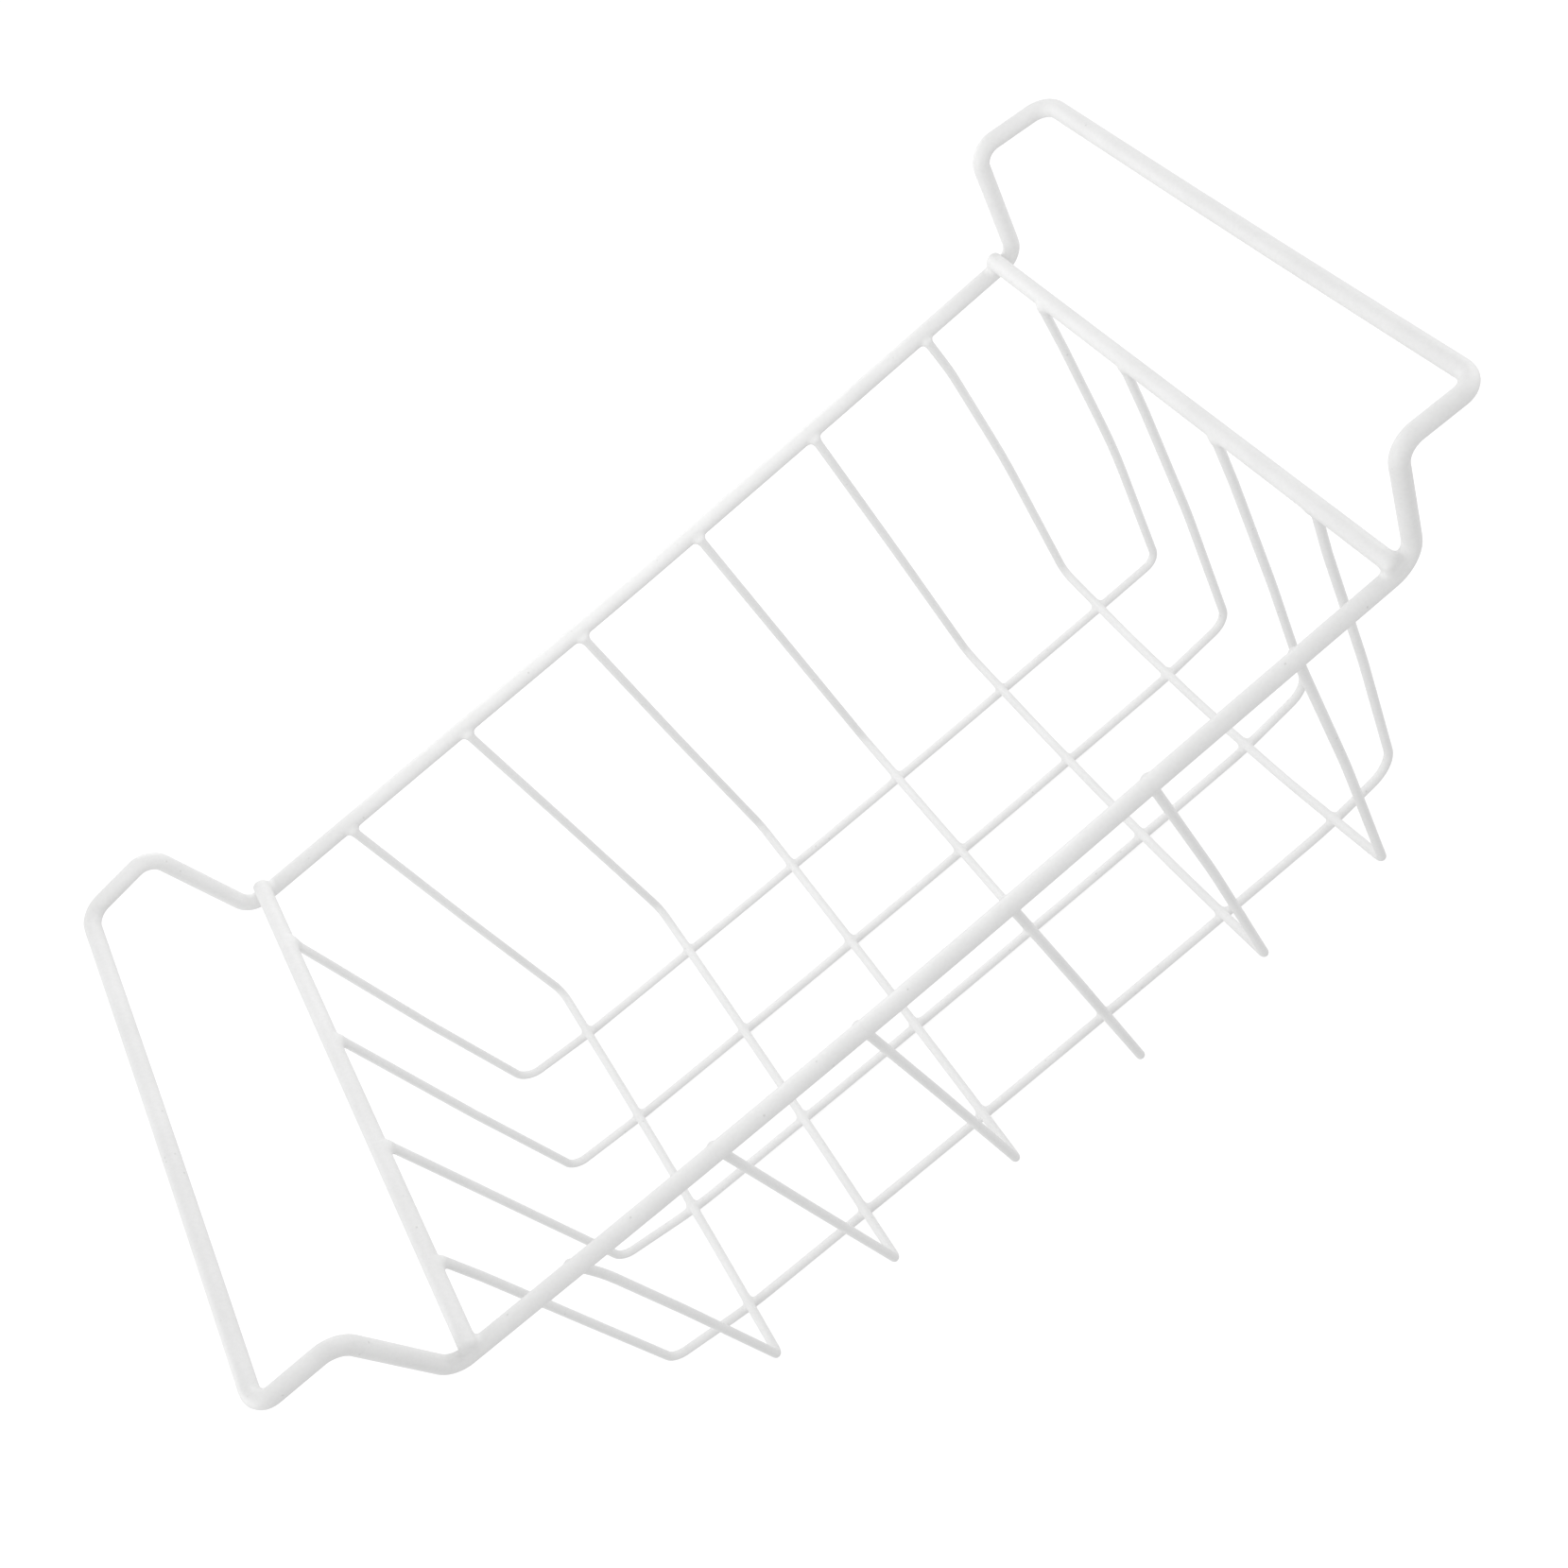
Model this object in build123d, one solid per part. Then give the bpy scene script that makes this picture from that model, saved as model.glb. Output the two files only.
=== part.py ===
from build123d import *
import math
import os

# Hanging wire basket for a chest freezer: thirteen coated round steel wires,
# welded where they cross. Millimetres, +Z up, +X along the long side.
# Heights are first counted from the plane of the long rails; at the end the
# basket is moved so that the origin is under its middle, on its lowest wire.

os.makedirs("parts", exist_ok=True)

# ---- driving dimensions -------------------------------------------------
FRAME_D = 5.8          # frame wire and end bars, over the coating
ROD_D = 3.2            # basket wires, over the coating
SET_ROD = 0.85         # how far two basket wires are pressed into each other
SET_RAIL = 1.6         # how far a cross wire is pressed into the rail
SET_BAR = 1.2          # how far an end bar is pressed into the rail
END_ROUND = 1.1        # rounded ends of the basket wires
BAR_ROUND_NEAR = 1.8   # rounded ends of the end bars
BAR_ROUND_FAR = 0.7
TIP_FAR = -0.6         # the cross wires end this far above the axis of the far rail
TIP_NEAR = 0.0         # and of the near rail
TOP = 0.3              # the long wires end this far above the end bar's axis

# frame wire, one closed loop: corner points and bend radii, seen from above
# going from the middle of the near rail round by the right handle
RAIL_Y = 102.6
FRAME_ROUTE = (
    ((0.0, -RAIL_Y, -2.8), 2500),        # near rail, drooping slightly
    ((95.0, -RAIL_Y, -0.1), 2500),
    ((178.2, -RAIL_Y, 1.8), 10),         # turns up
    ((183.3, -102.2, 46.8), 7),          # turns out
    ((211.5, -101.3, 44.3), 7),          # turns into the right handle
    ((210.9, 0.0, 43.1), 11000),
    ((211.0, 100.6, 42.9), 7),
    ((182.5, 102.1, 45.4), 7),
    ((178.9, RAIL_Y, -0.2), 6),
    ((95.0, RAIL_Y, -1.4), 2500),        # far rail
    ((0.0, RAIL_Y, -2.1), 2500),
    ((-95.0, RAIL_Y, -0.7), 2500),
    ((-178.2, RAIL_Y, 0.3), 6),
    ((-182.8, 103.5, 47.2), 7),
    ((-212.1, 102.0, 45.5), 7),          # left handle
    ((-213.1, 0.0, 44.6), 11000),
    ((-214.3, -102.2, 44.9), 7),
    ((-184.3, -103.3, 46.4), 7),
    ((-178.7, -RAIL_Y, -0.8), 6.5),
    ((-95.0, -RAIL_Y, -2.5), 2500),
)
FAR_MIDDLE = 10        # index in the list above where the second half starts

# end bars: x of the axis over the near and the far rail, and where each bar ends
BAR_X = {"left": (-169.9, -169.3), "right": (171.4, 170.8)}
BAR_Y = (-103.3, 102.2)  # where those two are taken
BAR_ENDS = {"left": (-104.8, 102.6), "right": (-104.4, 102.6)}

# the bottom is dished: it is lowest in the middle
BOTTOM = -146.4        # axis of the long wires at the middle
DISH_RX = 5700.0       # radius of the dish along the long side
DISH_RY = 1075.0       # and across
DISH_AX = 105.6        # half length of that arc; straight from there
DISH_AY = 80.0
KICK_X = 132.0         # where the long wires start to rise to their corners
KICK_R = 100.0
LONG_BENDS = (-104.0, -52.0, 2.0, 57.0, 106.0)   # x of the gentle bends of the
CROSS_BENDS = (47.0, 0.6, -46.5)                 # bottom, and y: between welds
BEND_SPAN = 12.0       # each gentle bend starts this far from its corner point

# the four long wires, far to near: y along the bottom; then for the right and
# the left end: y at the top, y and x and height of the corner, corner radius,
# and how far the upright's axis is outside the end bar's axis at mid height,
# just below the bar and at its top (negative: towards the inside)
LONG = (
    (70.1, (68.5, 69.6, 163.5, -141.8, 6, -2.4, -2.2, -2.5), (70.0, 71.5, -164.4, -139.5, 8, -2.9, -2.2, -1.8)),
    (24.1, (22.3, 24.3, 163.5, -141.0, 8, -3.4, -1.8, -1.6), (21.1, 24.9, -164.9, -142.2, 6, -3.1, -2.8, -2.6)),
    (-22.9, (-25.3, -22.8, 164.1, -139.5, 10, -3.8, -2.1, -1.9), (-26.9, -23.4, -164.0, -138.3, 6, -4.4, -3.3, -2.8)),
    (-70.1, (-68.2, -70.5, 162.9, -137.0, 12, -3.8, -1.3, 0.6), (-74.0, -70.6, -164.3, -136.9, 6, -4.7, -4.0, -3.2)),
)
MID_Z = -75.0
NECK_Z = -18.0

# the six cross wires, left to right: x at the far rail, bulge of the far
# upright near its top and at mid height, x at the far corner, the middle and
# the near corner, bulge of the near upright at mid height and near its top, x
# at the near rail; y of the two corners; tilt at the corners
CROSS = (
    (-132.0, 0.0, -0.35, -133.0, -132.5, -131.2, 1.5, 1.5, -134.5, 94.3, 94.7, 0.4),
    (-78.0, 0.0, 0.1, -80.0, -79.4, -78.4, -0.15, 0.0, -80.4, 94.7, 94.4, 0.0),
    (-24.2, 0.0, -0.3, -26.1, -25.0, -24.2, 0.2, 0.0, -25.7, 94.4, 94.1, 0.0),
    (30.1, 0.0, 0.0, 29.1, 29.8, 31.3, 0.3, 0.0, 29.7, 94.3, 94.3, 0.0),
    (83.9, 0.0, 0.2, 83.8, 83.0, 85.9, 0.9, 0.0, 82.5, 93.8, 94.6, 0.0),
    (135.8, 1.0, 2.3, 134.6, 131.8, 136.7, 1.0, 0.0, 136.7, 92.8, 95.8, 0.5),
)
CROSS_MID_Z = -70.0
CROSS_NECK_Z = -20.0
CROSS_R_FAR = 6.0
CROSS_R_NEAR = 3.5


# ---- helpers --------------------------------------------------------------
def route(points, radii, closed=False):
    """straight runs joined by tangent arcs, as a list of edges in order"""
    p = [Vector(*q) for q in points]
    n = len(p)
    ids = list(range(n)) if closed else list(range(1, n - 1))
    corner = {}
    for i in ids:
        a, b, c = p[i - 1], p[i], p[(i + 1) % n]
        u, v = (a - b).normalized(), (c - b).normalized()
        turn = math.pi - math.radians(u.get_angle(v))
        t = radii[i] * math.tan(turn / 2)
        w = (u + v).normalized()
        centre = b + w * (radii[i] / math.cos(turn / 2))
        corner[i] = (b + u * t, centre - w * radii[i], b + v * t)
    last = corner[0][2] if closed else p[0]
    edges = []
    for i in (ids[1:] + ids[:1]) if closed else ids:
        start, middle, end = corner[i]
        if (start - last).dot(p[i] - p[i - 1]) <= 0:
            raise ValueError(f"no straight run left before corner {i}")
        edges.append(Edge.make_line(last, start))
        edges.append(Edge.make_three_point_arc(start, middle, end))
        last = end
    if not closed:
        edges.append(Edge.make_line(last, p[-1]))
    return edges


def rod(edges, dia, seam):
    """a round wire along a chain of edges, and the volume it should have;
    seam is the side on which the surface closes, kept away from the welds"""
    path = Wire(edges)
    section = Plane(origin=path.position_at(0), x_dir=seam, z_dir=path.tangent_at(0)) * Circle(dia / 2)
    return sweep(section, path=path), path.length * math.pi * dia * dia / 4


def round_ends(solid, r):
    return fillet(solid.faces().filter_by(GeomType.PLANE).edges(), r)


def radius_for(a, b, c, t):
    """radius of the arc in corner b that starts at distance t from it"""
    u = (Vector(*a) - Vector(*b)).normalized()
    v = (Vector(*c) - Vector(*b)).normalized()
    return t / math.tan((math.pi - math.radians(u.get_angle(v))) / 2)


def gentle_radii(points, first, end):
    return [radius_for(points[k - 1], points[k], points[k + 1], BEND_SPAN) for k in range(first, end)]


def samples(edges, step=2.0):
    """points along a chain of edges"""
    out = []
    for e in edges:
        n = max(2, int(e.length / step))
        out += [e.position_at(k / n) for k in range(n)]
    out.append(edges[-1].position_at(1))
    return out


def height_at_x(points, x):
    for a, b in zip(points, points[1:]):
        if min(a.X, b.X) <= x <= max(a.X, b.X) and a.X != b.X:
            return a.Z + (b.Z - a.Z) * (x - a.X) / (b.X - a.X)
    raise ValueError(x)


def crossing(la, lb):
    """heights of two chains of points where they cross in plan"""
    for a, b in zip(la, la[1:]):
        for c, d in zip(lb, lb[1:]):
            rx, ry, sx, sy = b.X - a.X, b.Y - a.Y, d.X - c.X, d.Y - c.Y
            den = rx * sy - ry * sx
            if abs(den) < 1e-9:
                continue
            t = ((c.X - a.X) * sy - (c.Y - a.Y) * sx) / den
            s = ((c.X - a.X) * ry - (c.Y - a.Y) * rx) / den
            if 0 <= t <= 1 and 0 <= s <= 1:
                return a.Z + (b.Z - a.Z) * t, c.Z + (d.Z - c.Z) * s
    raise ValueError("no crossing")


def dish(radius, half, d):
    """rise of the dish at distance d; an arc up to half, straight beyond"""
    d = abs(d)
    if d <= half:
        return radius - math.sqrt(radius ** 2 - d ** 2)
    th = math.asin(half / radius)
    return radius * (1 - math.cos(th)) + (d - half) * math.tan(th)


shapes = {}
volumes = {}

# ---- frame wire: both rails and both handles in one closed loop ---------
frame_edges = route([q for q, _ in FRAME_ROUTE], [r for _, r in FRAME_ROUTE], closed=True)
half_a, va = rod(frame_edges[:2 * FAR_MIDDLE - 1], FRAME_D, (0, 0, -1))
half_b, vb = rod(frame_edges[2 * FAR_MIDDLE - 1:], FRAME_D, (0, 0, -1))
shapes["frame_wire"] = half_a + half_b
volumes["frame_wire"] = va + vb

rail_points = {
    "near": [q for q in samples(frame_edges) if q.Y < -RAIL_Y + 0.1 and abs(q.X) < 176.5 and q.Z < 8],
    "far": [q for q in samples(frame_edges) if q.Y > RAIL_Y - 0.1 and abs(q.X) < 176.5 and q.Z < 8],
}
rail_points["near"].sort(key=lambda q: q.X)
rail_points["far"].sort(key=lambda q: q.X)


# ---- end bars: straight, lying on both rails ----------------------------
def bar_axis(side, y):
    (xn, xf), (yn, yf) = BAR_X[side], BAR_Y
    zn = height_at_x(rail_points["near"], xn) + FRAME_D - SET_BAR
    zf = height_at_x(rail_points["far"], xf) + FRAME_D - SET_BAR
    k = (y - yn) / (yf - yn)
    return xn + (xf - xn) * k, y, zn + (zf - zn) * k


for side, seam in (("left", (-1, 0, -1)), ("right", (1, 0, -1))):
    bar, v = rod([Edge.make_line(*[Vector(*bar_axis(side, y)) for y in BAR_ENDS[side]])], FRAME_D, seam)
    near, far = bar.faces().filter_by(GeomType.PLANE).sort_by(Axis.Y)
    bar = fillet(near.edges(), BAR_ROUND_NEAR)
    far = bar.faces().filter_by(GeomType.PLANE).sort_by(Axis.Y)[-1]
    shapes[f"end_bar_{side}"] = fillet(far.edges(), BAR_ROUND_FAR)
    volumes[f"end_bar_{side}"] = v

# ---- long wires: under the cross wires, up to the inner side of the end bars
long_points = []
for j, (y, right, left) in enumerate(LONG):
    base = BOTTOM + dish(DISH_RY, DISH_AY, y)
    kick = base + dish(DISH_RX, DISH_AX, KICK_X)
    ends = []
    for side, sx, (yt, yc, xc, zc, r, mid, neck, top) in (("right", 1, right), ("left", -1, left)):
        bx, _, bz = bar_axis(side, yt)
        ends.append([(bx + sx * top, yt, bz + TOP),
                     (bx + sx * neck, yt + (yc - yt) * 0.15, NECK_Z),
                     (bx + sx * mid, yt + (yc - yt) * 0.55, MID_Z),
                     (xc, yc, zc),
                     (sx * KICK_X, yc + ((right[1] + left[1]) / 2 - yc) * 0.2, kick)])
    ya, yb = ends[1][4][1], ends[0][4][1]
    middle = [(x, ya + (yb - ya) * (x + KICK_X) / (2 * KICK_X), base + dish(DISH_RX, DISH_AX, x)) for x in LONG_BENDS]
    points = ends[1] + middle + ends[0][::-1]
    gentle = gentle_radii(points, 5, 5 + len(middle))
    edges = route(points, [0, 150, 400, left[4], KICK_R] + gentle + [KICK_R, right[4], 400, 150, 0])
    wire, v = rod(edges, ROD_D, (0, 1, 0))
    shapes[f"long_wire_{j + 1}"] = round_ends(wire, END_ROUND)
    volumes[f"long_wire_{j + 1}"] = v
    long_points.append([q for q in samples(edges) if q.Z < -138.5 and abs(q.X) < 158])

# ---- cross wires: on the long wires, up to the inner side of the rails --
CROSS_TOP_Y = RAIL_Y - (FRAME_D + ROD_D) / 2 + SET_RAIL
CHORD = 0.13           # the straight runs pass this far under the dish's arc


def cross_edges(row, lift):
    xft, nf, bf, xfc, xm, xnc, bn, nn, xnt, yf, yn, tilt = row
    zft = height_at_x(rail_points["far"], xft) + TIP_FAR
    znt = height_at_x(rail_points["near"], xnt) + TIP_NEAR
    far, near = (xfc - xm) / yf, (xnc - xm) / yn
    middle = []
    for y in CROSS_BENDS:
        x = xm + (far if y > 0 else near) * abs(y) + (far + near) * (DISH_AY - abs(y)) ** 2 / (4 * DISH_AY)
        middle.append((x, y, lift + dish(DISH_RY, DISH_AY, y) - CHORD - tilt * y / 94))
    ends = []
    for side, xt, zt, neck, bulge, xc, yc, lean in (
            (1, xft, zft, nf, bf, xfc, yf, -tilt), (-1, xnt, znt, nn, bn, xnc, yn, tilt)):
        top = (xt, side * CROSS_TOP_Y, zt)
        mid = ((xt + xc) / 2 + bulge, side * (CROSS_TOP_Y + yc) / 2, CROSS_MID_Z)
        k = CROSS_NECK_Z / CROSS_MID_Z
        bend = [(xt + (mid[0] - xt) * k + neck, top[1] + (mid[1] - top[1]) * k, CROSS_NECK_Z)] if neck else []
        ends.append([top] + bend + [mid, (xc, side * yc, lift + dish(DISH_RY, DISH_AY, yc) + lean)])
    points = ends[0] + middle + ends[1][::-1]
    n = len(ends[0])
    gentle = gentle_radii(points, n, n + len(middle))
    return route(points, [0] + ([120] if nf else []) + [500, CROSS_R_FAR] + gentle
                 + [CROSS_R_NEAR, 500] + ([120] if nn else []) + [0])


for i, row in enumerate(CROSS):
    lift = BOTTOM + ROD_D
    for _ in range(2):
        low = [q for q in samples(cross_edges(row, lift)) if q.Z < -130]
        gaps = []
        for lp in long_points:
            z_long, z_cross = crossing(lp, low)
            gaps.append(z_cross - z_long - (ROD_D - SET_ROD))
        lift -= sum(gaps) / 4
    print(f"cross_wire_{i + 1}: set {[round(SET_ROD - g + sum(gaps) / 4, 2) for g in gaps]}")
    wire, v = rod(cross_edges(row, lift), ROD_D, (1, 0, 0))
    shapes[f"cross_wire_{i + 1}"] = round_ends(wire, END_ROUND)
    volumes[f"cross_wire_{i + 1}"] = v

for name, shape in shapes.items():
    print(f"{name}: volume {shape.volume:.0f}, section x length {volumes[name]:.0f} mm3")

# ---- welds: each pair meets in a shallow saddle, with nothing shared -----
frame = shapes["frame_wire"]
for side in ("left", "right"):
    shapes[f"end_bar_{side}"] = shapes[f"end_bar_{side}"] - frame
for i in range(6):
    shapes[f"cross_wire_{i + 1}"] = shapes[f"cross_wire_{i + 1}"] - frame
for j in range(4):
    wire = shapes[f"long_wire_{j + 1}"]
    for side in ("left", "right"):
        wire = wire - shapes[f"end_bar_{side}"]
    for i in range(6):
        wire = wire - shapes[f"cross_wire_{i + 1}"]
    shapes[f"long_wire_{j + 1}"] = wire

# ---- the origin: middle of the box, on the lowest wire -------------------
boxes = [s.bounding_box() for s in shapes.values()]
dx = -(min(b.min.X for b in boxes) + max(b.max.X for b in boxes)) / 2
dy = -(min(b.min.Y for b in boxes) + max(b.max.Y for b in boxes)) / 2
dz = -min(b.min.Z for b in boxes)
print(f"shift {dx:.4f} {dy:.4f} {dz:.4f}")

for name, shape in shapes.items():
    shape = Pos(dx, dy, dz) * shape
    solids = shape.solids()
    print(name, len(solids), "solid", f"{shape.volume:.1f} mm3", "valid" if shape.is_valid else "NOT VALID")
    export_step(solids[0] if len(solids) == 1 else shape, f"parts/{name}.step")
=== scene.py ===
import math

import bpy
import numpy as np
from mathutils import Matrix, Vector


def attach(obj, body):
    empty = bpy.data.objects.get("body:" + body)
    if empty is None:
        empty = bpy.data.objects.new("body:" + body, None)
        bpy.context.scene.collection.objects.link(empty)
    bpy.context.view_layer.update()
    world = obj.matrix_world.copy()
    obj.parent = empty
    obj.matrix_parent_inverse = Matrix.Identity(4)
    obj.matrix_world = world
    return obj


# Hanging wire basket for a chest freezer. The thirteen coated wires are the
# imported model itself, with a coated finish. Added here is the coating that ran
# together at the 48 welds and set there as small smooth webs.

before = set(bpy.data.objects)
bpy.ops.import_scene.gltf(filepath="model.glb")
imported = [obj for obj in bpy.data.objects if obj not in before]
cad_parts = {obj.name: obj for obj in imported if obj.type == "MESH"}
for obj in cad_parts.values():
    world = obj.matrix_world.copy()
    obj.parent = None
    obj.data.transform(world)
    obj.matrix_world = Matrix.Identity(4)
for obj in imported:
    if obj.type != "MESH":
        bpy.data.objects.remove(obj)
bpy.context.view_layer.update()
scene = bpy.context.scene

# ---- wire routes, as in part.py: millimetres, heights from the rail plane ---
FRAME_D, ROD_D = 5.8, 3.2
SET_ROD, SET_BAR, SET_RAIL = 0.85, 1.2, 1.6
END_ROUND, BAR_ROUND = 1.1, (1.8, 0.7)
TIP_FAR, TIP_NEAR, TOP = -0.6, 0.0, 0.3
RAIL_Y = 102.6
FRAME_ROUTE = (
    ((0.0, -RAIL_Y, -2.8), 2500), ((95.0, -RAIL_Y, -0.1), 2500), ((178.2, -RAIL_Y, 1.8), 10),
    ((183.3, -102.2, 46.8), 7), ((211.5, -101.3, 44.3), 7), ((210.9, 0.0, 43.1), 11000),
    ((211.0, 100.6, 42.9), 7), ((182.5, 102.1, 45.4), 7), ((178.9, RAIL_Y, -0.2), 6),
    ((95.0, RAIL_Y, -1.4), 2500), ((0.0, RAIL_Y, -2.1), 2500), ((-95.0, RAIL_Y, -0.7), 2500),
    ((-178.2, RAIL_Y, 0.3), 6), ((-182.8, 103.5, 47.2), 7), ((-212.1, 102.0, 45.5), 7),
    ((-213.1, 0.0, 44.6), 11000), ((-214.3, -102.2, 44.9), 7), ((-184.3, -103.3, 46.4), 7),
    ((-178.7, -RAIL_Y, -0.8), 6.5), ((-95.0, -RAIL_Y, -2.5), 2500),
)
BAR_X = {"left": (-169.9, -169.3), "right": (171.4, 170.8)}
BAR_Y = (-103.3, 102.2)
BAR_ENDS = {"left": (-104.8, 102.6), "right": (-104.4, 102.6)}
BOTTOM = -146.4
DISH_RX, DISH_RY, DISH_AX, DISH_AY = 5700.0, 1075.0, 105.6, 80.0
KICK_X, KICK_R, BEND_SPAN = 132.0, 100.0, 12.0
LONG_BENDS = (-104.0, -52.0, 2.0, 57.0, 106.0)
CROSS_BENDS = (47.0, 0.6, -46.5)
LONG = (
    (70.1, (68.5, 69.6, 163.5, -141.8, 6, -2.4, -2.2, -2.5), (70.0, 71.5, -164.4, -139.5, 8, -2.9, -2.2, -1.8)),
    (24.1, (22.3, 24.3, 163.5, -141.0, 8, -3.4, -1.8, -1.6), (21.1, 24.9, -164.9, -142.2, 6, -3.1, -2.8, -2.6)),
    (-22.9, (-25.3, -22.8, 164.1, -139.5, 10, -3.8, -2.1, -1.9), (-26.9, -23.4, -164.0, -138.3, 6, -4.4, -3.3, -2.8)),
    (-70.1, (-68.2, -70.5, 162.9, -137.0, 12, -3.8, -1.3, 0.6), (-74.0, -70.6, -164.3, -136.9, 6, -4.7, -4.0, -3.2)),
)
MID_Z, NECK_Z = -75.0, -18.0
CROSS = (
    (-132.0, 0.0, -0.35, -133.0, -132.5, -131.2, 1.5, 1.5, -134.5, 94.3, 94.7, 0.4),
    (-78.0, 0.0, 0.1, -80.0, -79.4, -78.4, -0.15, 0.0, -80.4, 94.7, 94.4, 0.0),
    (-24.2, 0.0, -0.3, -26.1, -25.0, -24.2, 0.2, 0.0, -25.7, 94.4, 94.1, 0.0),
    (30.1, 0.0, 0.0, 29.1, 29.8, 31.3, 0.3, 0.0, 29.7, 94.3, 94.3, 0.0),
    (83.9, 0.0, 0.2, 83.8, 83.0, 85.9, 0.9, 0.0, 82.5, 93.8, 94.6, 0.0),
    (135.8, 1.0, 2.3, 134.6, 131.8, 136.7, 1.0, 0.0, 136.7, 92.8, 95.8, 0.5),
)
CROSS_MID_Z, CROSS_NECK_Z, CROSS_R_FAR, CROSS_R_NEAR, CHORD = -70.0, -20.0, 6.0, 3.5, 0.13
SHIFT = np.array([1.3803, -0.0861, 147.7272])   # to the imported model's origin


def unit(v):
    return v / np.linalg.norm(v)


def line(points, radii, closed=False, chord=0.0006):
    """points along straight runs joined by tangent arcs"""
    p = [np.array(q, float) for q in points]
    n = len(p)
    out = [] if closed else [p[0]]
    for i in range(n) if closed else range(1, n - 1):
        a, b, c, r = p[i - 1], p[i], p[(i + 1) % n], radii[i]
        u, v = unit(a - b), unit(c - b)
        turn = math.pi - math.acos(float(np.clip(u @ v, -1, 1)))
        t = r * math.tan(turn / 2)
        start, centre = b + u * t, b + unit(u + v) * (r / math.cos(turn / 2))
        x = unit(start - centre)
        y = -u
        k = max(2, int(math.ceil(turn / (2 * math.sqrt(2 * chord / r)))))
        for m in range(k + 1):
            s = turn * m / k
            out.append(centre + r * (math.cos(s) * x + math.sin(s) * y))
    out.append(out[0] if closed else p[-1])
    return np.array(out)


def radius_for(a, b, c, t):
    u, v = unit(np.array(a) - np.array(b)), unit(np.array(c) - np.array(b))
    return t / math.tan(math.acos(float(np.clip(u @ v, -1, 1))) / 2)


def height_at_x(rail, x):
    for a, b in zip(rail, rail[1:]):
        if min(a[0], b[0]) <= x <= max(a[0], b[0]) and a[0] != b[0]:
            return a[2] + (b[2] - a[2]) * (x - a[0]) / (b[0] - a[0])
    raise ValueError(x)


def dish(radius, half, d):
    d = abs(d)
    if d <= half:
        return radius - math.sqrt(radius ** 2 - d ** 2)
    th = math.asin(half / radius)
    return radius * (1 - math.cos(th)) + (d - half) * math.tan(th)


def crossing(la, lb):
    """the points of two lines that lie over each other, seen from above"""
    a, r = la[:-1, None, :], np.diff(la, axis=0)[:, None, :]
    c, w = lb[None, :-1, :], np.diff(lb, axis=0)[None, :, :]
    den = r[..., 0] * w[..., 1] - r[..., 1] * w[..., 0]
    den = np.where(np.abs(den) < 1e-9, np.inf, den)
    t = ((c - a)[..., 0] * w[..., 1] - (c - a)[..., 1] * w[..., 0]) / den
    s = ((c - a)[..., 0] * r[..., 1] - (c - a)[..., 1] * r[..., 0]) / den
    i, j = np.argwhere((t >= 0) & (t <= 1) & (s >= 0) & (s <= 1) & np.isfinite(den))[0]
    return la[i] + (la[i + 1] - la[i]) * t[i, j], lb[j] + (lb[j + 1] - lb[j]) * s[i, j]


frame_line = line([q for q, _ in FRAME_ROUTE], [r for _, r in FRAME_ROUTE], closed=True)
near_rail = sorted((q for q in frame_line if q[1] < -RAIL_Y + 0.1 and abs(q[0]) < 178 and q[2] < 8), key=lambda q: q[0])
far_rail = sorted((q for q in frame_line if q[1] > RAIL_Y - 0.1 and abs(q[0]) < 178 and q[2] < 8), key=lambda q: q[0])


def bar_axis(side, y):
    (xn, xf), (yn, yf) = BAR_X[side], BAR_Y
    zn = height_at_x(near_rail, xn) + FRAME_D - SET_BAR
    zf = height_at_x(far_rail, xf) + FRAME_D - SET_BAR
    k = (y - yn) / (yf - yn)
    return xn + (xf - xn) * k, y, zn + (zf - zn) * k


bar_line = {s: np.array([bar_axis(s, y) for y in BAR_ENDS[s]]) for s in ("left", "right")}

long_line = []
for y, right, left in LONG:
    base = BOTTOM + dish(DISH_RY, DISH_AY, y)
    kick = base + dish(DISH_RX, DISH_AX, KICK_X)
    ends = []
    for side, sx, (yt, yc, xc, zc, r, mid, neck, top) in (("right", 1, right), ("left", -1, left)):
        bx, _, bz = bar_axis(side, yt)
        ends.append([(bx + sx * top, yt, bz + TOP),
                     (bx + sx * neck, yt + (yc - yt) * 0.15, NECK_Z),
                     (bx + sx * mid, yt + (yc - yt) * 0.55, MID_Z),
                     (xc, yc, zc),
                     (sx * KICK_X, yc + ((right[1] + left[1]) / 2 - yc) * 0.2, kick)])
    ya, yb = ends[1][4][1], ends[0][4][1]
    middle = [(x, ya + (yb - ya) * (x + KICK_X) / (2 * KICK_X), base + dish(DISH_RX, DISH_AX, x)) for x in LONG_BENDS]
    points = ends[1] + middle + ends[0][::-1]
    gentle = [radius_for(points[k - 1], points[k], points[k + 1], BEND_SPAN) for k in range(5, 5 + len(middle))]
    long_line.append(line(points, [0, 150, 400, left[4], KICK_R] + gentle + [KICK_R, right[4], 400, 150, 0]))

CROSS_TOP_Y = RAIL_Y - (FRAME_D + ROD_D) / 2 + SET_RAIL


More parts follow.
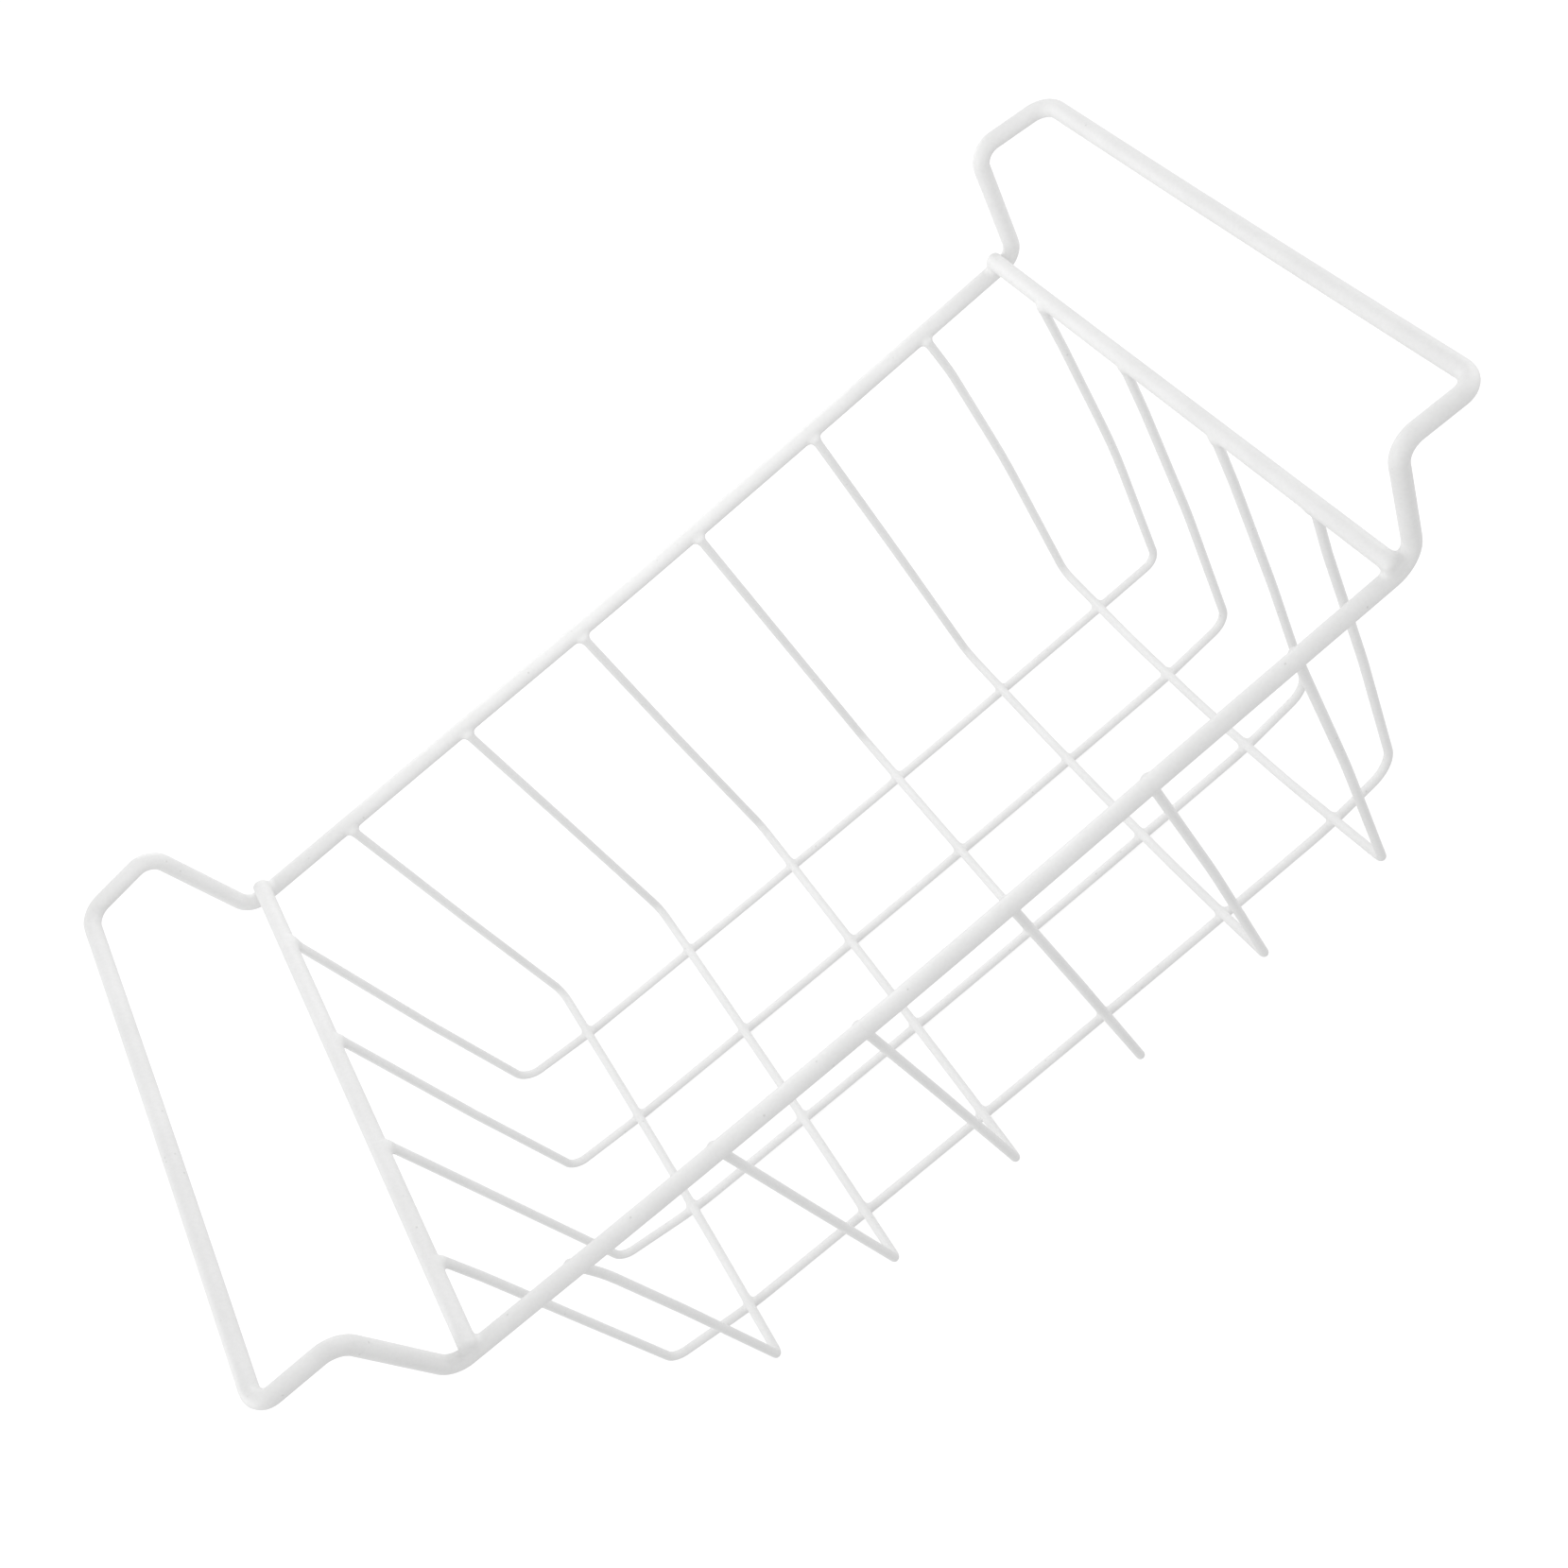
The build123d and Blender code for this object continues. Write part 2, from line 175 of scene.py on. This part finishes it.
def cross_wire(row, lift):
    xft, nf, bf, xfc, xm, xnc, bn, nn, xnt, yf, yn, tilt = row
    zft, znt = height_at_x(far_rail, xft) + TIP_FAR, height_at_x(near_rail, xnt) + TIP_NEAR
    far, near = (xfc - xm) / yf, (xnc - xm) / yn
    middle = []
    for y in CROSS_BENDS:
        x = xm + (far if y > 0 else near) * abs(y) + (far + near) * (DISH_AY - abs(y)) ** 2 / (4 * DISH_AY)
        middle.append((x, y, lift + dish(DISH_RY, DISH_AY, y) - CHORD - tilt * y / 94))
    ends = []
    for side, xt, zt, neck, bulge, xc, yc, lean in ((1, xft, zft, nf, bf, xfc, yf, -tilt), (-1, xnt, znt, nn, bn, xnc, yn, tilt)):
        top = (xt, side * CROSS_TOP_Y, zt)
        mid = ((xt + xc) / 2 + bulge, side * (CROSS_TOP_Y + yc) / 2, CROSS_MID_Z)
        k = CROSS_NECK_Z / CROSS_MID_Z
        bend = [(xt + (mid[0] - xt) * k + neck, top[1] + (mid[1] - top[1]) * k, CROSS_NECK_Z)] if neck else []
        ends.append([top] + bend + [mid, (xc, side * yc, lift + dish(DISH_RY, DISH_AY, yc) + lean)])
    points = ends[0] + middle + ends[1][::-1]
    n = len(ends[0])
    gentle = [radius_for(points[k - 1], points[k], points[k + 1], BEND_SPAN) for k in range(n, n + len(middle))]
    return line(points, [0] + ([120] if nf else []) + [500, CROSS_R_FAR] + gentle + [CROSS_R_NEAR, 500] + ([120] if nn else []) + [0])


def low_part(l):
    return l[l[:, 2] < -130]


cross_line, crossings = [], {}
for i, row in enumerate(CROSS):
    lift = BOTTOM + ROD_D
    for _ in range(2):
        l = cross_wire(row, lift)
        gaps = []
        for j in range(4):
            on_long, on_cross = crossing(low_part(long_line[j]), low_part(l))
            gaps.append(on_cross[2] - on_long[2] - (ROD_D - SET_ROD))
        lift -= sum(gaps) / 4
    l = cross_wire(row, lift)
    cross_line.append(l)
    for j in range(4):
        crossings[i, j] = crossing(low_part(long_line[j]), low_part(l))


# ---- the coating at the welds ----------------------------------------------
class Wire:
    """distance to a round wire along a line, with its rounded ends"""

    def __init__(self, pts, radius, rounds=None):
        self.a, self.b, self.radius = pts[:-1], pts[1:], radius
        self.ends = [] if rounds is None else [
            (pts[0], unit(pts[0] - pts[1]), rounds[0]), (pts[-1], unit(pts[-1] - pts[-2]), rounds[1])]

    def near(self, centre, reach):
        """the same wire, but only the part around one weld"""
        mid = (self.a + self.b) / 2
        half = np.linalg.norm(self.b - self.a, axis=1) / 2
        t = np.clip(((centre - self.a) * (self.b - self.a)).sum(1) / np.maximum(4 * half ** 2, 1e-12), 0, 1)
        d = np.linalg.norm(self.a + (self.b - self.a) * t[:, None] - centre, axis=1)
        w = Wire.__new__(Wire)
        keep = d < reach
        w.a, w.b, w.radius = self.a[keep], self.b[keep], self.radius
        w.ends = [e for e in self.ends if np.linalg.norm(e[0] - centre) < reach]
        return w

    def distance(self, p):
        best = np.full(len(p), np.inf)
        for a, b in zip(self.a, self.b):
            ab = b - a
            t = np.clip((p - a) @ ab / (ab @ ab), 0, 1)
            best = np.minimum(best, ((p - a - t[:, None] * ab) ** 2).sum(1))
        d = np.sqrt(best) - self.radius
        for end, way, r in self.ends:
            along = (p - end) @ way
            off = np.sqrt(np.maximum(((p - end) ** 2).sum(1) - along ** 2, 0))
            q1, q2 = off - (self.radius - r), along + r
            cap = np.minimum(np.maximum(q1, q2), 0) + np.hypot(np.maximum(q1, 0), np.maximum(q2, 0)) - r
            d = np.where(along > -r, cap, d)
        return d


class Weld:
    """two wires and the coating between them: a smooth union, whose reach
    changes a little round the weld because the coating ran unevenly"""

    REACH = 0.92        # the web ends where the wires' distances differ by this share of the reach
    SINK = 0.036

    def __init__(self, one, two, centre, reach, lean, seed, extent):
        r = np.random.default_rng(seed)
        self.centre, self.size, self.extent = centre, reach, extent
        self.one, self.two = one.near(centre, extent * 1.8 + 4), two.near(centre, extent * 1.8 + 4)
        self.lean = np.array(lean, float)
        self.waves = r.normal(0, 1, (3, 3)) * 0.55
        self.phase = r.uniform(0, 6.28, 3)
        self.own = r.uniform(-0.14, 0.14)

    def parts(self, p):
        a, b = self.one.distance(p), self.two.distance(p)
        d = p - self.centre
        out = d / np.sqrt((d ** 2).sum(1) + 0.6)[:, None]
        k = 1 + self.own + out @ self.lean
        for w, s in zip(self.waves, self.phase):
            k = k + 0.06 * np.sin(d @ w + s)
        k = np.clip(k, 0.45, 1.8) * self.size
        h = np.maximum(k - np.abs(a - b), 0) / k
        sharp = np.minimum(a, b)
        return sharp - h * h * k / 4, sharp, np.abs(a - b) / k

    def slope(self, p, which, e=2e-3):
        """gradient, from four points round each point"""
        g = np.zeros_like(p)
        for corner in ((1, 1, 1), (1, -1, -1), (-1, 1, -1), (-1, -1, 1)):
            way = np.array(corner, float)
            g += self.parts(p + way * e)[which][:, None] * way / (4 * e)
        return g

    def settle(self, p, times=3):
        for _ in range(times):
            g = self.slope(p, 0)
            p = p - (self.parts(p)[0] / np.maximum((g ** 2).sum(1), 1e-6))[:, None] * g
        return p

    def mesh(self, step):
        # distances on a coarse grid first, then finely near the web only
        n = int(math.ceil(self.extent / (4 * step)))
        few = np.stack(np.meshgrid(*[np.arange(-n, n + 1) * 4 * step] * 3, indexing="ij"), -1).reshape(-1, 3)
        f, _, q = self.parts(few + self.centre)
        m = 2 * n + 1
        f, q = f.reshape(m, m, m), q.reshape(m, m, m)
        least, reach = np.full((m - 1,) * 3, np.inf), np.full((m - 1,) * 3, np.inf)
        for d in np.ndindex(2, 2, 2):
            part = tuple(slice(x, m - 1 + x) for x in d)
            least, reach = np.minimum(least, np.abs(f[part])), np.minimum(reach, q[part])
        near = (least < 4.5 * step) & (reach < self.REACH + 4.5 * step / (0.5 * self.size))
        c = 4 * (m - 1)
        wanted = np.zeros((c + 1,) * 3, bool)
        for x, y, z in np.argwhere(near) * 4:
            wanted[x:x + 5, y:y + 5, z:z + 5] = True
        known = np.argwhere(wanted)
        value = np.full((c + 1,) * 3, np.nan)
        value[wanted] = self.parts((known - 2 * (m - 1)) * step + self.centre)[0]
        # one vertex in each cell that the surface passes through
        inside = value < 0
        whole = np.ones((c,) * 3, bool)
        some, all_in = np.zeros((c,) * 3, bool), np.ones((c,) * 3, bool)
        for d in np.ndindex(2, 2, 2):
            part = tuple(slice(x, c + x) for x in d)
            whole &= wanted[part]
            some |= inside[part]
            all_in &= inside[part]
        active = whole & some & ~all_in
        ids = np.full((c,) * 3, -1)
        cells = np.argwhere(active)
        ids[active] = np.arange(len(cells))
        total, count = np.zeros((len(cells), 3)), np.zeros(len(cells))
        for ax in range(3):
            o1, o2 = [x for x in range(3) if x != ax]
            for d1, d2 in ((0, 0), (0, 1), (1, 0), (1, 1)):
                lo = cells.copy()
                lo[:, o1] += d1
                lo[:, o2] += d2
                hi = lo.copy()
                hi[:, ax] += 1
                fa, fb = value[tuple(lo.T)], value[tuple(hi.T)]
                cut = (fa < 0) != (fb < 0)
                at = lo[cut].astype(float)
                at[:, ax] += fa[cut] / (fa[cut] - fb[cut])
                total[cut] += at
                count[cut] += 1
        v = (total / count[:, None] - 2 * (m - 1)) * step + self.centre
        quads = []
        for ax in range(3):
            o1, o2 = [(1, 2), (2, 0), (0, 1)][ax]
            lo, hi = [slice(None)] * 3, [slice(None)] * 3
            lo[ax], hi[ax] = slice(0, -1), slice(1, None)
            both = wanted[tuple(lo)] & wanted[tuple(hi)]
            e = np.argwhere(both & (inside[tuple(lo)] != inside[tuple(hi)]))
            e = e[(e[:, o1] > 0) & (e[:, o2] > 0) & (e[:, o1] < c) & (e[:, o2] < c)]
            starts_in = inside[tuple(e.T)]
            around = []
            for d1, d2 in ((-1, -1), (0, -1), (0, 0), (-1, 0)):
                cell = e.copy()
                cell[:, o1] += d1
                cell[:, o2] += d2
                around.append(ids[tuple(cell.T)])
            face = np.stack(around, 1)
            face[~starts_in] = face[~starts_in][:, ::-1]
            quads.append(face[(face >= 0).all(1)])
        quads = np.concatenate(quads)
        v = self.settle(v, 2)
        q = self.parts(v)[2]
        quads = quads[(q[quads] < self.REACH).all(1)]
        quads = self.tidy(quads)
        faces = [list(x) for x in quads]
        # the stair steps of the rim become slants
        rim = self.rim(faces)
        for k, face in enumerate(faces):
            on = [(face[s], face[(s + 1) % 4]) in rim for s in range(4)]
            if sum(on) == 2:
                for s in range(4):
                    if on[s - 1] and on[s]:
                        faces[k] = [face[(s + 1) % 4], face[(s + 2) % 4], face[(s + 3) % 4]]
        used = sorted({x for face in faces for x in face})
        new = {x: y for y, x in enumerate(used)}
        faces = [[new[x] for x in face] for face in faces]
        v = v[used]
        rim = self.rim(faces)
        edge = np.array(sorted({x for e in rim for x in e}))
        # the rim runs to where the web ends on the wires
        for _ in range(3):
            p = v[edge]
            g, nrm = self.slope(p, 2), self.slope(p, 0)
            nrm /= np.linalg.norm(nrm, axis=1)[:, None]
            g -= (g * nrm).sum(1)[:, None] * nrm
            s = (self.REACH - self.parts(p)[2]) / np.maximum((g ** 2).sum(1), 1e-3)
            move = g * s[:, None]
            far = np.linalg.norm(move, axis=1)
            move *= np.minimum(1, 0.5 * step / np.maximum(far, 1e-9))[:, None]
            v[edge] = self.settle(p + move, 1)
        v = self.even(v, faces, set(edge.tolist()))
        normal = self.slope(v, 0)
        normal /= np.linalg.norm(normal, axis=1)[:, None]
        fill = self.parts(v)[1]
        under = v - normal * (1.3 * np.maximum(fill, 0) + 0.14)[:, None]
        # the rim itself sinks just under the wires' surface
        v[edge] -= normal[edge] * self.SINK
        return v, faces, normal, under, rim

    def even(self, v, faces, fixed):
        """spaces the vertices evenly, keeping them on the surface"""
        near = [set() for _ in v]
        for face in faces:
            for s in range(len(face)):
                near[face[s]].add(face[s - 1])
                near[face[s - 1]].add(face[s])
        free = np.array([x for x in range(len(v)) if x not in fixed])
        if not len(free):
            return v
        src = np.concatenate([np.full(len(near[x]), k) for k, x in enumerate(free)])
        dst = np.concatenate([np.array(sorted(near[x])) for x in free])
        for _ in range(2):
            mean = np.zeros((len(free), 3))
            np.add.at(mean, src, v[dst])
            mean /= np.bincount(src, minlength=len(free))[:, None]
            v[free] = self.settle(v[free] * 0.5 + mean * 0.5, 1)
        return v

    @staticmethod
    def rim(faces):
        """edges that only one face uses, in that face's direction"""
        seen = {}
        for face in faces:
            for s in range(len(face)):
                e = (face[s], face[(s + 1) % len(face)])
                seen[e] = seen.get(e, 0) + 1
        return {e for e in seen if (e[1], e[0]) not in seen}

    @staticmethod
    def tidy(quads):
        """takes off teeth of the rim and faces that meet only in a point, and
        keeps the connected patches of more than 60 faces"""
        quads = [tuple(int(x) for x in face) for face in quads]
        while True:
            rim = Weld.rim(quads)
            ends = {}
            for a, b in rim:
                ends[a] = ends.get(a, 0) + 1
            pinched = {a for a, k in ends.items() if k > 1}
            keep = []
            for face in quads:
                on = sum((face[s], face[(s + 1) % 4]) in rim for s in range(4))
                opposite = on == 2 and ((face[0], face[1]) in rim) == ((face[2], face[3]) in rim)
                if on >= 3 or opposite or pinched & set(face):
                    continue
                keep.append(face)
            if len(keep) == len(quads):
                break
            quads = keep
        # connected patches
        boss = {}

        def find(x):
            while boss.setdefault(x, x) != x:
                boss[x] = boss[boss[x]]
                x = boss[x]
            return x

        for face in quads:
            for x in face[1:]:
                boss[find(x)] = find(face[0])
        groups = {}
        for face in quads:
            groups.setdefault(find(face[0]), []).append(face)
        return [face for g in groups.values() if len(g) > 60 for face in g]


def shell(parts_list, name, material):
    """one piece made of closed thin shells, each lying on two wires at a weld"""
    verts, faces, normals, n0 = [], [], [], 0
    for v, outer, normal, under, rim in parts_list:
        n = len(v)
        both = np.concatenate([v, under])
        verts.append(both)
        for face in outer:
            faces.append([n0 + x for x in face])
        normals.append(normal[np.concatenate(outer)])
        for face in outer:
            faces.append([n0 + n + x for x in face[::-1]])
        normals.append(-normal[np.concatenate([face[::-1] for face in outer])])
        # the rim's narrow wall takes the surface's own normals, so it doesn't draw a line
        wall = np.array([[b, a, n + a, n + b] for a, b in sorted(rim)])
        faces.extend((wall + n0).tolist())
        normals.append(normal[np.where(wall >= n, wall - n, wall)].reshape(-1, 3))
        n0 += 2 * n
    verts, normals = (np.concatenate(verts) + SHIFT) / 1000, np.concatenate(normals)
    me = bpy.data.meshes.new(name)
    me.from_pydata(verts.tolist(), [], faces)
    me.materials.append(material)
    me.polygons.foreach_set("use_smooth", [True] * len(me.polygons))
    me.update()
    me.normals_split_custom_set(normals.tolist())
    ob = bpy.data.objects.new(name, me)
    scene.collection.objects.link(ob)
    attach(ob, "root")
    return ob


# ---- finish ------------------------------------------------------------------
def coated_wire():
    """white dip coating: semi-gloss, a little uneven, with a few fine specks"""
    mat = bpy.data.materials.new("coated_wire_finish")
    mat.use_nodes = True
    nt = mat.node_tree
    nt.nodes.clear()

    def node(kind, **values):
        x = nt.nodes.new(kind)
        for key, value in values.items():
            setattr(x, key, value)
        return x

    def noise(scale, detail, rough=0.5):
        x = node("ShaderNodeTexNoise")
        x.inputs["Scale"].default_value = scale
        x.inputs["Detail"].default_value = detail
        x.inputs["Roughness"].default_value = rough
        nt.links.new(place.outputs["Object"], x.inputs["Vector"])
        return x

    def ramp(source, stops):
        x = node("ShaderNodeValToRGB")
        while len(x.color_ramp.elements) < len(stops):
            x.color_ramp.elements.new(0.5)
        for e, (at, value) in zip(x.color_ramp.elements, stops):
            e.position = at
            e.color = (*value, 1) if isinstance(value, tuple) else (value, value, value, 1)
        nt.links.new(source, x.inputs["Fac"])
        return x

    place = node("ShaderNodeTexCoord")
    out = node("ShaderNodeOutputMaterial")
    bsdf = node("ShaderNodeBsdfPrincipled")
    nt.links.new(bsdf.outputs["BSDF"], out.inputs["Surface"])
    bsdf.inputs["IOR"].default_value = 1.5
    bsdf.inputs["Specular IOR Level"].default_value = 0.5

    # tone: slow drift in the coating's thickness and a fine mottle
    slow = noise(48, 2)
    tone = ramp(slow.outputs["Fac"], [(0.34, (0.856, 0.856, 0.852)), (0.66, (0.884, 0.884, 0.881))])
    fine = noise(900, 3)
    mottle = ramp(fine.outputs["Fac"], [(0.32, 0.972), (0.62, 1.0)])
    both = node("ShaderNodeMix", data_type="RGBA", blend_type="MULTIPLY")
    both.inputs["Factor"].default_value = 1
    nt.links.new(tone.outputs["Color"], both.inputs["A"])
    nt.links.new(mottle.outputs["Color"], both.inputs["B"])
    # specks: a few small grey points and dust nibs in the coating
    cells = node("ShaderNodeTexVoronoi")
    cells.inputs["Scale"].default_value = 330
    nt.links.new(place.outputs["Object"], cells.inputs["Vector"])
    dots = ramp(cells.outputs["Distance"], [(0.06, 1.0), (0.16, 0.0)])
    split = node("ShaderNodeSeparateColor")
    nt.links.new(cells.outputs["Color"], split.inputs["Color"])
    chosen = ramp(split.outputs["Red"], [(0.90, 0.0), (0.91, 1.0)])
    speck = node("ShaderNodeMath", operation="MULTIPLY")
    nt.links.new(dots.outputs["Color"], speck.inputs[0])
    nt.links.new(chosen.outputs["Color"], speck.inputs[1])
    marks = node("ShaderNodeMix", data_type="RGBA", blend_type="MIX")
    marks.inputs["B"].default_value = (0.72, 0.72, 0.71, 1)
    nt.links.new(speck.outputs["Value"], marks.inputs["Factor"])
    nt.links.new(both.outputs["Result"], marks.inputs["A"])
    nt.links.new(marks.outputs["Result"], bsdf.inputs["Base Color"])

    # gloss: shinier where the coating is thick, duller in patches
    gloss = noise(130, 3)
    shine = ramp(gloss.outputs["Fac"], [(0.30, 0.34), (0.70, 0.48)])
    nt.links.new(shine.outputs["Color"], bsdf.inputs["Roughness"])

    # relief: long soft waves where the coating ran, orange peel, and nibs
    wave = noise(170, 1)
    waves = node("ShaderNodeBump")
    waves.inputs["Strength"].default_value = 0.5
    waves.inputs["Distance"].default_value = 0.00022
    nt.links.new(wave.outputs["Fac"], waves.inputs["Height"])
    peel = noise(1100, 2, 0.45)
    peels = node("ShaderNodeBump")
    peels.inputs["Strength"].default_value = 0.35
    peels.inputs["Distance"].default_value = 0.00004
    nt.links.new(peel.outputs["Fac"], peels.inputs["Height"])
    nt.links.new(waves.outputs["Normal"], peels.inputs["Normal"])
    nibs = node("ShaderNodeBump")
    nibs.inputs["Strength"].default_value = 0.5
    nibs.inputs["Distance"].default_value = 0.00006
    nt.links.new(speck.outputs["Value"], nibs.inputs["Height"])
    nt.links.new(peels.outputs["Normal"], nibs.inputs["Normal"])
    nt.links.new(nibs.outputs["Normal"], bsdf.inputs["Normal"])
    return mat


finish = coated_wire()
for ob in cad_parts.values():
    if ob.material_slots:
        for slot in ob.material_slots:
            slot.material = finish
    else:
        ob.data.materials.append(finish)
    ob.visible_shadow = True

frame_tube = Wire(frame_line, FRAME_D / 2)
bar_tube = {s: Wire(bar_line[s], FRAME_D / 2, BAR_ROUND) for s in bar_line}
long_tube = [Wire(l, ROD_D / 2, (END_ROUND, END_ROUND)) for l in long_line]
cross_tube = [Wire(l, ROD_D / 2, (END_ROUND, END_ROUND)) for l in cross_line]

for i in range(6):
    welds = []
    for j in range(4):
        on_long, on_cross = crossings[i, j]
        welds.append(Weld(cross_tube[i], long_tube[j], (on_long + on_cross) / 2, 2.3, (0, 0, 0), 100 + 10 * i + j, 4.6).mesh(0.24))
    for k, end in enumerate((cross_line[i][0], cross_line[i][-1])):
        side = 1 if k == 0 else -1
        centre = end + np.array([0, 0.6 * side, -0.9])
        welds.append(Weld(cross_tube[i], frame_tube, centre, 2.2, (0, 0, 0), 200 + 10 * i + k, 6.0).mesh(0.28))
    shell(welds, f"weld_coating_cross_wire_{i + 1}", finish)
for j in range(4):
    welds = []
    for k, (side, end) in enumerate((("left", long_line[j][0]), ("right", long_line[j][-1]))):
        centre = (end + np.array(bar_axis(side, end[1]))) / 2 + np.array([0, 0, -1.4])
        reach, lean = 2.2, (0, 0, 0)
        if (side, j) == ("right", 3):      # that wire runs under its bar, and its coating hangs down inside
            centre, reach, lean = end + np.array([-0.3, 0, -3.0]), 2.6, (-0.45, 0, -0.35)
        welds.append(Weld(long_tube[j], bar_tube[side], centre, reach, lean, 300 + 10 * j + k, 6.4).mesh(0.28))
    shell(welds, f"weld_coating_long_wire_{j + 1}", finish)
for side in ("left", "right"):
    welds = []
    for k, rail in enumerate((near_rail, far_rail)):
        x = bar_line[side][k][0]
        centre = np.array([x, RAIL_Y * (-1 if k == 0 else 1), height_at_x(rail, x) + (FRAME_D - SET_BAR) / 2])
        welds.append(Weld(bar_tube[side], frame_tube, centre, 2.9, (0, 0, 0), 400 + k + (10 if side == "left" else 0), 9.5).mesh(0.34))
    shell(welds, f"weld_coating_end_bar_{side}", finish)

# ---- studio -------------------------------------------------------------------
floor_mesh = bpy.data.meshes.new("floor")
S = 6.0
floor_mesh.from_pydata([(-S, -S, 0), (S, -S, 0), (S, S, 0), (-S, S, 0)], [], [(0, 1, 2, 3)])
floor = bpy.data.objects.new("floor", floor_mesh)
scene.collection.objects.link(floor)
pale = bpy.data.materials.new("pale_floor")
pale.use_nodes = True
pale.node_tree.nodes["Principled BSDF"].inputs["Base Color"].default_value = (0.51, 0.51, 0.51, 1)
pale.node_tree.nodes["Principled BSDF"].inputs["Emission Color"].default_value = (1, 1, 1, 1)
pale.node_tree.nodes["Principled BSDF"].inputs["Emission Strength"].default_value = 0.62   # like a lit white table
pale.node_tree.nodes["Principled BSDF"].inputs["Roughness"].default_value = 0.9
pale.node_tree.nodes["Principled BSDF"].inputs["Specular IOR Level"].default_value = 0.1
floor_mesh.materials.append(pale)
floor.visible_diffuse = floor.visible_glossy = False   # its glow doesn't flatten the wires' undersides

# a white dome behind everything, for low views; it lights nothing and shades nothing
dome_verts, dome_faces, ROUND, RISE = [], [], 48, 14
for i in range(RISE):
    e = math.radians(-1 + 91 * i / RISE)
    for j in range(ROUND):
        a = 2 * math.pi * j / ROUND
        dome_verts.append((5.9 * math.cos(e) * math.cos(a), 5.9 * math.cos(e) * math.sin(a), 5.9 * math.sin(e)))
        if i:
            k, m = i * ROUND + j, i * ROUND + (j + 1) % ROUND
            dome_faces.append((k - ROUND, k, m, m - ROUND))
dome_verts.append((0, 0, 5.9))
dome_faces += [((RISE - 1) * ROUND + j, len(dome_verts) - 1, (RISE - 1) * ROUND + (j + 1) % ROUND) for j in range(ROUND)]
dome_mesh = bpy.data.meshes.new("backdrop")
dome_mesh.from_pydata(dome_verts, [], dome_faces)
dome = bpy.data.objects.new("backdrop", dome_mesh)
scene.collection.objects.link(dome)
white = bpy.data.materials.new("white_backdrop")
white.use_nodes = True
white.node_tree.nodes["Principled BSDF"].inputs["Base Color"].default_value = (0, 0, 0, 1)
white.node_tree.nodes["Principled BSDF"].inputs["Specular IOR Level"].default_value = 0
white.node_tree.nodes["Principled BSDF"].inputs["Emission Color"].default_value = (1, 1, 1, 1)
white.node_tree.nodes["Principled BSDF"].inputs["Emission Strength"].default_value = 0.99
dome_mesh.materials.append(white)
dome.visible_diffuse = dome.visible_glossy = dome.visible_transmission = dome.visible_volume_scatter = dome.visible_shadow = False

world = bpy.data.worlds.new("studio")
world.use_nodes = True
world.node_tree.nodes["Background"].inputs["Color"].default_value = (1, 1, 1, 1)
world.node_tree.nodes["Background"].inputs["Strength"].default_value = 0.705
scene.world = world


def sun(name, azimuth, elevation, strength, spread):
    """a large soft light far away; azimuth counts from +X towards +Y"""
    data = bpy.data.lights.new(name, "SUN")
    data.energy, data.angle = strength, math.radians(spread)
    ob = bpy.data.objects.new(name, data)
    a, e = math.radians(azimuth), math.radians(elevation)
    way = Vector((math.cos(a) * math.cos(e), math.sin(a) * math.cos(e), math.sin(e)))
    ob.rotation_mode = "QUATERNION"
    ob.rotation_quaternion = way.to_track_quat("Z", "Y")
    ob.location = way * 2
    scene.collection.objects.link(ob)
    return ob


def panel(name, place, watts, size=0.4, aim=(0, 0, 0.07)):
    """a soft panel near the basket, turned to aim; the camera doesn't see the panel"""
    data = bpy.data.lights.new(name, "AREA")
    data.shape, data.size, data.energy = "SQUARE", size, watts
    ob = bpy.data.objects.new(name, data)
    ob.rotation_mode = "QUATERNION"
    ob.rotation_quaternion = (Vector(place) - Vector(aim)).to_track_quat("Z", "Y")
    ob.location = place
    ob.visible_camera = False
    scene.collection.objects.link(ob)
    return ob


sun("left_light", 180, 20, 0.18, 50)
sun("left_front_low_light", 225, 20, 0.064, 50)
sun("left_front_light", 225, 50, 0.102, 50)
sun("right_light", 0, 20, 0.098, 50)
panel("left_panel", (-0.6, 0, 0.3), 0.56)
panel("right_panel", (0.6, 0, 0.3), 0.57)
panel("back_panel", (0, 0.5, 0.3), 0.56)
panel("overhead_panel", (0, 0, 0.36), 0.085, 0.25, (0, 0, 0))
panel("far_wall_panel", (0, 0.1, 0.3), 0.03, 0.2, (0, 0.3, 0))

scene.view_settings.view_transform = "Standard"

# ---- camera, from the same view as the photograph --------------------------------
AXIS = Vector((2.32765834, -0.828795788, -0.366998582))
TURN = Matrix.Rotation(AXIS.length, 3, AXIS.normalized())   # from the basket to the camera, y down
MOVE = Vector((-7.56637, -8.99353, 594.44512))              # millimetres
FOCAL = 1969.2846                                           # in the photograph's 1659 pixels
cam_data = bpy.data.cameras.new("camera")
cam_data.sensor_fit = "HORIZONTAL"
cam_data.sensor_width = 36
cam_data.lens = FOCAL * 36 / 1659
cam_data.clip_start, cam_data.clip_end = 0.05, 50
cam_data.dof.use_dof = False
camera = bpy.data.objects.new("camera", cam_data)
spot = TURN.transposed() @ (-MOVE) + Vector(SHIFT.tolist())
turn = TURN.transposed() @ Matrix(((1, 0, 0), (0, -1, 0), (0, 0, -1)))
camera.matrix_world = Matrix.Translation(spot / 1000) @ turn.to_4x4()
scene.collection.objects.link(camera)
scene.camera = camera

bpy.context.view_layer.update()
